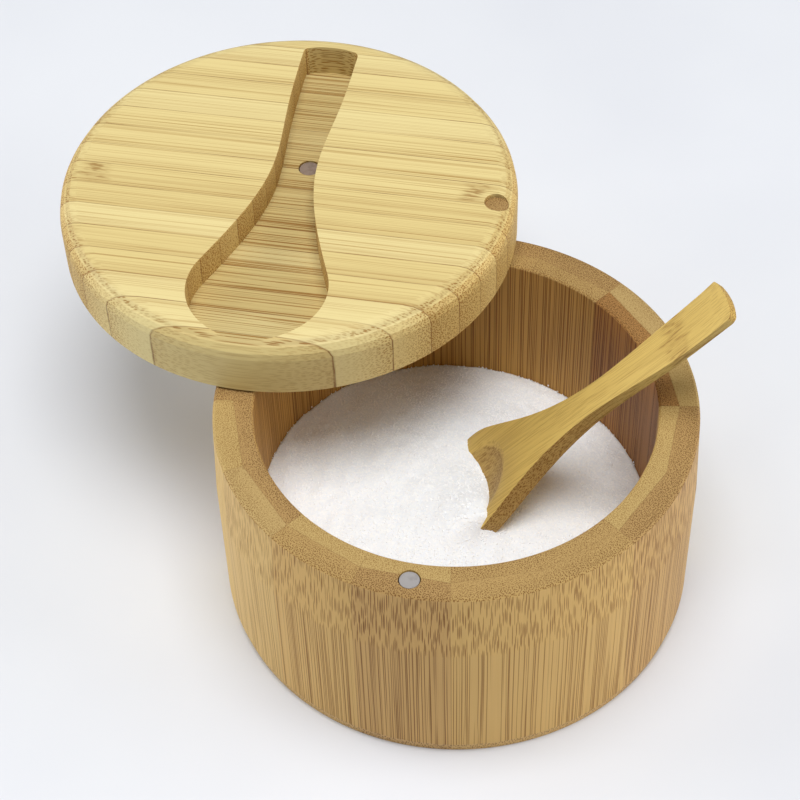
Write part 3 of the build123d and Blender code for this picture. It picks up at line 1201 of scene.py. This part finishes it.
@dataclass(frozen=True)
class PaleFinish:
    """The look of salt, and of the floor: near shades in soft patches.

    Attributes:
        shades: The shades between the patches and in them.
        patches: The pattern of the patches.
        edge: Where the pattern goes over into a patch.
        roughness: How rough it is.
        unevenness: How much that changes with the pattern.
        grains: How many grains lie along a metre, or 0 where none show.
        damp: The colour that damp grains go towards.
    """

    DAMP_PLACES = Pattern((90.0,) * 3)
    DAMP_EDGE = (0.3, 0.7)
    DAMP_SHARE = 0.3
    PATCH_HEIGHT = 0.6
    RELIEF_STRENGTH = 0.3
    RELIEF_DEPTH = 0.10

    shades: tuple[Colour, Colour]
    patches: Pattern
    edge: tuple[float, float]
    roughness: float
    unevenness: float = 0.0
    grains: float = 0.0
    damp: Colour = tint(244, 247, 252)

    def material(self, name: str) -> bpy.types.Material:
        """Makes the material.

        Args:
            name: Its name.

        Returns:
            The material.
        """
        material, bench = empty_material(name)
        where = bench.here()
        patch = bench.noise(where, self.patches)
        sockets = {"Base Color": bench.mix(patch.ramp(*self.edge), *self.shades),
                   "Roughness": self.roughness + patch.swing(self.unevenness)}
        if self.grains:
            damp = bench.noise(where, self.DAMP_PLACES).ramp(*self.DAMP_EDGE) * self.DAMP_SHARE
            grain = bench.make("ShaderNodeTexVoronoi", {"feature": "F1"},
                               {"Vector": where, "Scale": self.grains}, "Distance")
            height = grain + patch * self.PATCH_HEIGHT
            sockets["Base Color"] = bench.mix(damp, sockets["Base Color"], self.damp)
            sockets["Normal"] = bench.bump(height, self.RELIEF_STRENGTH, self.RELIEF_DEPTH)
        bench.surface(sockets)
        return material


class Pales(Enum):
    """The finishes of the salt and of the floor."""

    SALT = PaleFinish((tint(241, 246, 253), tint(252, 254, 255)),
                      Pattern((1500.0,) * 3, 3.0, 0.7), (0.35, 0.7), 0.6, 0.4, 3200.0)
    CRYSTALS = PaleFinish((tint(246, 249, 254), tint(255, 255, 255)),
                          Pattern((2600.0,) * 3), (0.35, 0.65), 0.32, 0.3)
    FLOOR = PaleFinish((tint(227, 230, 236), tint(221, 224, 231)),
                       Pattern((9.0,) * 3, 3.0), (0.3, 0.7), 0.5)


@dataclass(frozen=True)
class Drift:
    """Salt heaped up against the hollow side of the scoop.

    Attributes:
        rise: Its height over the salt round it, in mm.
        bearing: The bearing that the scoop leans to, in degrees.
        ahead: From the box's axis to its crest along that bearing, in mm.
        aside: From the axis to its crest, square to that bearing and to its left, in mm.
        reaches: How far it spreads from its crest, in mm: away from the scoop, under it, to
            its right and to its left.
        spread: How much wider it gets to its right for each mm away from the scoop, in mm.
    """

    rise: float = 4.4
    bearing: float = 11.4
    ahead: float = 5.8
    aside: float = -9.65
    reaches: tuple[float, float, float, float] = (10.9, 3.2, 2.6, 10.3)
    spread: float = 0.51

    def height(self, x: float, y: float) -> float:
        """Finds how much it adds to the salt's height.

        Args:
            x: In mm.
            y: In mm.

        Returns:
            The added height, in mm.
        """
        angle = math.radians(self.bearing)
        ahead = x * math.cos(angle) + y * math.sin(angle) - self.ahead
        aside = y * math.cos(angle) - x * math.sin(angle) - self.aside
        away, under, right, left = self.reaches
        right += self.spread * max(-ahead, 0.0)
        ahead /= away if ahead < 0 else under
        aside /= right if aside < 0 else left
        return self.rise * math.exp(-ahead * ahead - aside * aside)


Row = list[bmesh.types.BMVert]


class Sprinkler:
    """A Geometry Nodes tree that strews loose crystals over a surface."""

    NAME = "strewn_crystals"
    ATTRIBUTE = "sparse"
    INPUTS = {"Geometry": ("Surface",), "Float": ("Density", "Size"), "Int": ("Seed",),
              "Material": ("Material",)}
    SHRUNK = 0.45
    ENLARGED = 1.15

    def __init__(self) -> None:
        """Builds the tree."""
        self.tree = bpy.data.node_groups.new(self.NAME, "GeometryNodeTree")
        declare(self.tree, "OUTPUT", {"Geometry": ("Geometry",)})
        declare(self.tree, "INPUT", self.INPUTS)
        self._draw(Bench(self.tree))

    def _draw(self, bench: Bench) -> None:
        """Adds the tree's nodes.

        Args:
            bench: The tree's bench.
        """
        given = bench.given()
        size, seed = given["Size"], given["Seed"]
        share = bench.make("GeometryNodeInputNamedAttribute", {"data_type": "FLOAT"},
                           {"Name": self.ATTRIBUTE}, "Attribute")
        points = bench.make("GeometryNodeDistributePointsOnFaces", {"distribute_method": "RANDOM"},
                            {"Mesh": given["Surface"], "Density": given["Density"] * share,
                             "Seed": seed}, "Points")
        sides = bench.make("ShaderNodeCombineXYZ", {}, {0: size, 1: size, 2: size})
        crystal = bench.make("GeometryNodeMeshCube", {}, {"Size": sides}, "Mesh")
        turn = bench.make("FunctionNodeRandomValue", {"data_type": "FLOAT_VECTOR"},
                          {"Min": (0.0,) * 3, "Max": (math.tau,) * 3, "Seed": seed}, "Value")
        scale = bench.make("FunctionNodeRandomValue", {"data_type": "FLOAT"},
                           {"Min": self.SHRUNK, "Max": self.ENLARGED, "Seed": seed}, "Value")
        strewn = bench.make("GeometryNodeInstanceOnPoints", {},
                            {"Points": points, "Instance": crystal, "Rotation": turn,
                             "Scale": scale}, "Instances")
        solid = bench.make("GeometryNodeRealizeInstances", {}, {"Geometry": strewn})
        dressed = bench.make("GeometryNodeSetMaterial", {},
                             {"Geometry": solid, "Material": given["Material"]})
        bench.make("NodeGroupOutput", {}, {0: dressed})

    def strew(self, name: str, surface: bpy.types.Mesh, density: float, size: float,
              material: bpy.types.Material, seed: int) -> bpy.types.Object:
        """Strews crystals over a surface.

        Args:
            name: The new piece's name.
            surface: Where they lie, with a "sparse" attribute from 0, none, to 1, all.
            density: How many lie on a square millimetre where that is 1.
            size: The side of one that is neither enlarged nor shrunk, in mm.
            material: Their material.
            seed: What their places follow from.

        Returns:
            The crystals as one plain mesh.
        """
        carrier = add_piece("carrier", surface)
        modifier = carrier.modifiers.new("strew", "NODES")
        modifier.node_group = self.tree
        values = {"Density": density / (MM * MM), "Size": size * MM, "Seed": seed,
                  "Material": material}
        for item in self.tree.interface.items_tree:
            if item.in_out == "INPUT" and item.name in values:
                modifier[item.identifier] = values[item.name]
        mesh = worked_out(carrier)
        mesh.name = name
        carrier.modifiers.remove(modifier)
        bpy.data.objects.remove(carrier)
        return add_piece(name, mesh)


@dataclass
class Salt:
    """The heap of fine salt and the loose crystals on it.

    Attributes:
        radius: Its radius, in mm.
        floor: The height of the box's bottom, in mm.
        wall_height: Its mean height at the wall, in mm.
        crown: How far its middle stands above that, in mm.
        lean: How much higher one side is, in mm.
        lean_bearing: The bearing of the high side, in degrees.
        drift: What is heaped up against the scoop.
        ripples: How often each set of ripples repeats in a mm, a number that sets it apart from
            the others, and its height, in mm.
        rings: Rows of faces from the middle to the wall.
        spokes: Faces round it.
        crystals: Loose crystals on a square millimetre.
        crystal_size: The side of a crystal that is neither enlarged nor shrunk, in mm.
        crystal_seed: What the crystals' places follow from.
        cling: How far up the wall crystals cling, in mm.
        clinging: Shares of that height, and how many cling there, from 0, none, to 1, all.
    """

    radius: float = 41.75
    floor: float = 8.0
    wall_height: float = 19.9
    crown: float = 4.2
    lean: float = 3.4
    lean_bearing: float = 220.0
    drift: Drift = Drift()
    ripples: tuple[tuple[float, float, float], ...] = (
        (0.12, 3.0, 0.5), (0.4, 8.0, 0.22), (1.3, 5.0, 0.08))
    rings: int = 84
    spokes: int = 300
    crystals: float = 2.7
    crystal_size: float = 0.25
    crystal_seed: int = 5
    cling: float = 0.8
    clinging: tuple[tuple[float, float], ...] = ((0.25, 0.3), (0.5, 0.08), (1.0, 0.0))

    def height(self, x: float, y: float) -> float:
        """Finds the salt's height.

        Args:
            x: In mm.
            y: In mm.

        Returns:
            The height, in mm.
        """
        bearing = math.radians(self.lean_bearing)
        share = math.hypot(x, y) / self.radius
        high = (x * math.cos(bearing) + y * math.sin(bearing)) / self.radius
        level = self.wall_height + self.crown * (1 - share * share) + self.lean * high
        ripple = sum(noise.noise(Vector((x * often, y * often, layer))) * rise
                     for often, layer, rise in self.ripples)
        return level + ripple + self.drift.height(x, y)

    def _spot(self, made: bmesh.types.BMesh, reach: float, spoke: int,
              rise: float = 0.0) -> bmesh.types.BMVert:
        """Adds a corner on the salt.

        Args:
            made: The mesh it goes into.
            reach: Its distance from the axis, in mm.
            spoke: Its number round the axis.
            rise: Its height over the salt, in mm.

        Returns:
            The corner.
        """
        angle = math.tau * spoke / self.spokes
        x, y = reach * math.cos(angle), reach * math.sin(angle)
        return made.verts.new((x * MM, y * MM, (self.height(x, y) + rise) * MM))

    def _join(self, made: bmesh.types.BMesh, low: Row, high: Row) -> None:
        """Joins two rings of corners with a band of faces.

        Args:
            made: The mesh.
            low: The ring on the left as one goes round.
            high: The other ring.
        """
        for here in range(self.spokes):
            there = (here + 1) % self.spokes
            made.faces.new((low[here], high[here], high[there], low[there]))

    def _top(self, made: bmesh.types.BMesh) -> Row:
        """Adds the salt's top.

        Args:
            made: The mesh.

        Returns:
            The corners at the wall.
        """
        middle = self._spot(made, 0.0, 0)
        row = [self._spot(made, self.radius / self.rings, spoke) for spoke in range(self.spokes)]
        for here in range(self.spokes):
            made.faces.new((middle, row[here], row[(here + 1) % self.spokes]))
        for ring in range(2, self.rings + 1):
            last, reach = row, self.radius * ring / self.rings
            row = [self._spot(made, reach, spoke) for spoke in range(self.spokes)]
            self._join(made, last, row)
        return row

    def heap(self) -> bpy.types.Object:
        """Builds the heap as a closed solid.

        Returns:
            The heap.
        """
        made = bmesh.new()
        rim = self._top(made)
        foot = [made.verts.new((v.co.x, v.co.y, self.floor * MM)) for v in rim]
        self._join(made, rim, foot)
        made.faces.new(tuple(reversed(foot)))
        mesh = finished("salt_heap", made)
        mesh.shade_smooth()
        return add_piece("salt_heap", mesh)

    def loose(self) -> bpy.types.Mesh:
        """Makes the surface that loose crystals lie on: the top and a low band up the wall.

        Returns:
            The surface, with its share of the crystals as an attribute.
        """
        made = bmesh.new()
        share = made.verts.layers.float.new(Sprinkler.ATTRIBUTE)
        rim = self._top(made)
        for corner in made.verts:
            corner[share] = 1.0
        last = rim
        for rise, part in self.clinging:
            band = [self._spot(made, self.radius, spoke, self.cling * rise)
                    for spoke in range(self.spokes)]
            self._join(made, last, band)
            for corner in band:
                corner[share] = part
            last = band
        return finished("salt_surface", made)

    def build(self) -> None:
        """Builds and dresses the heap and its crystals, in place of the salt's solid."""
        heap = self.heap()
        place_material(heap, Pales.SALT.value.material("salt_grains"))
        crystals = Sprinkler().strew("salt_crystals", self.loose(), self.crystals,
                                     self.crystal_size,
                                     Pales.CRYSTALS.value.material("salt_crystals"),
                                     self.crystal_seed)
        for piece in (heap, crystals):
            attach(piece, "box")
            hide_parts("salt")
            log.info("built %s, %d faces", piece.name, len(piece.data.polygons))


# ---------------------------------------------------------------------------------------------
# Studio
# ---------------------------------------------------------------------------------------------


@dataclass(frozen=True)
class Lamp:
    """A soft square light that is aimed at the box.

    Attributes:
        name: Its name.
        place: Where it hangs, in metres.
        size: Its side, in metres.
        power: Its power, in watts.
        colour: Its colour.
    """

    name: str
    place: tuple[float, float, float]
    size: float
    power: float
    colour: Colour = (1.0, 0.99, 0.98)

    def hang(self, target: Vector) -> None:
        """Hangs it.

        Args:
            target: What it is aimed at, in metres.
        """
        data = bpy.data.lights.new(self.name, "AREA")
        data.shape = "SQUARE"
        data.size = self.size
        data.energy = self.power
        data.color = self.colour
        turn = (target - Vector(self.place)).to_track_quat("-Z", "Y").to_matrix().to_4x4()
        add_piece(self.name, data).matrix_world = Matrix.Translation(self.place) @ turn


@dataclass
class Studio:
    """The floor, the lights and the camera.

    Attributes:
        focal_length: The camera's, in mm.
        sensor: The width of its picture, in mm.
        nearest: The nearest that it sees, in metres.
        camera_place: Where it stands, in mm, before it goes round the box.
        pitch: How far it looks down, in radians.
        yaw: How far it looks to its right, in radians.
        roll: How far it is rolled to its left, in radians.
        bearing: How far it goes round the box, in degrees.
        lamps: The lights.
        target: What they are aimed at, in metres.
        sky: The colour of the even light from all round.
        sky_strength: Its strength.
        floor_reach: Half of the floor's side, in metres.
    """

    focal_length: float = 95.823
    sensor: float = 36.0
    nearest: float = 0.01
    camera_place: tuple[float, float, float] = (0.0, -290.42, 382.40)
    pitch: float = 0.8469880517709878
    yaw: float = -0.039353052936136515
    roll: float = -0.03344392679464893
    bearing: float = 11.3
    lamps: tuple[Lamp, ...] = (
        Lamp("key", (0.05, -0.15, 1.10), 0.6, 9.4, (1.0, 0.994, 0.98)),
        Lamp("left_fill", (-1.00, 0.05, 0.42), 0.7, 4.8),
        Lamp("right_fill", (1.00, 0.10, 0.42), 0.7, 5.0))
    target: tuple[float, float, float] = (-0.015, 0.02, 0.04)
    sky: Colour = (0.95, 0.975, 1.0)
    sky_strength: float = 0.25
    floor_reach: float = 3.0

    def _place_camera(self) -> None:
        """Places the camera."""
        turn = Matrix.Rotation(math.radians(self.bearing), 4, "Z")
        forward = Vector((math.sin(self.yaw) * math.cos(self.pitch),
                          math.cos(self.yaw) * math.cos(self.pitch), -math.sin(self.pitch)))
        right = forward.cross(Vector((0, 0, 1))).normalized()
        up = right.cross(forward)
        right, up = (math.cos(self.roll) * right + math.sin(self.roll) * up,
                     math.cos(self.roll) * up - math.sin(self.roll) * right)
        axes = Matrix((right, up, -forward)).transposed().to_4x4()
        data = bpy.data.cameras.new("camera")
        data.lens = self.focal_length
        data.sensor_width = self.sensor
        data.clip_start = self.nearest
        camera = add_piece("camera", data)
        camera.matrix_world = turn @ Matrix.Translation(Vector(self.camera_place) * MM) @ axes
        bpy.context.scene.camera = camera

    def _lay_floor(self) -> None:
        """Lays the pale floor."""
        made = bmesh.new()
        bmesh.ops.create_grid(made, x_segments=2, y_segments=2, size=self.floor_reach)
        floor = add_piece("floor", finished("floor", made))
        place_material(floor, Pales.FLOOR.value.material("floor"))

    def _light_sky(self) -> None:
        """Sets the even light from all round."""
        world = bpy.data.worlds.new("studio")
        world.use_nodes = True
        world.node_tree.nodes.clear()
        bench = Bench(world.node_tree)
        shade = bench.make("ShaderNodeBackground", {}, {"Color": self.sky,
                                                        "Strength": self.sky_strength})
        bench.make("ShaderNodeOutputWorld", {}, {"Surface": shade})
        bpy.context.scene.world = world

    def build(self) -> None:
        """Sets up the whole studio."""
        self._place_camera()
        self._lay_floor()
        for lamp in self.lamps:
            lamp.hang(Vector(self.target))
        self._light_sky()
        bpy.context.scene.view_settings.view_transform = "Standard"
        log.info("studio ready")


def main() -> None:
    """Dresses and builds each part in turn."""
    logging.basicConfig(level=logging.INFO, format="%(message)s")
    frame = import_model()
    nodes = frame["nodes"]
    bamboo = BambooGroup()
    Studio().build()
    Wall(nodes, bamboo).dress()
    Lid(nodes, bamboo).dress()
    Scoop(nodes, bamboo).build()
    Fittings(nodes, bamboo).dress()
    Salt().build()


if __name__ == "__main__":
    main()
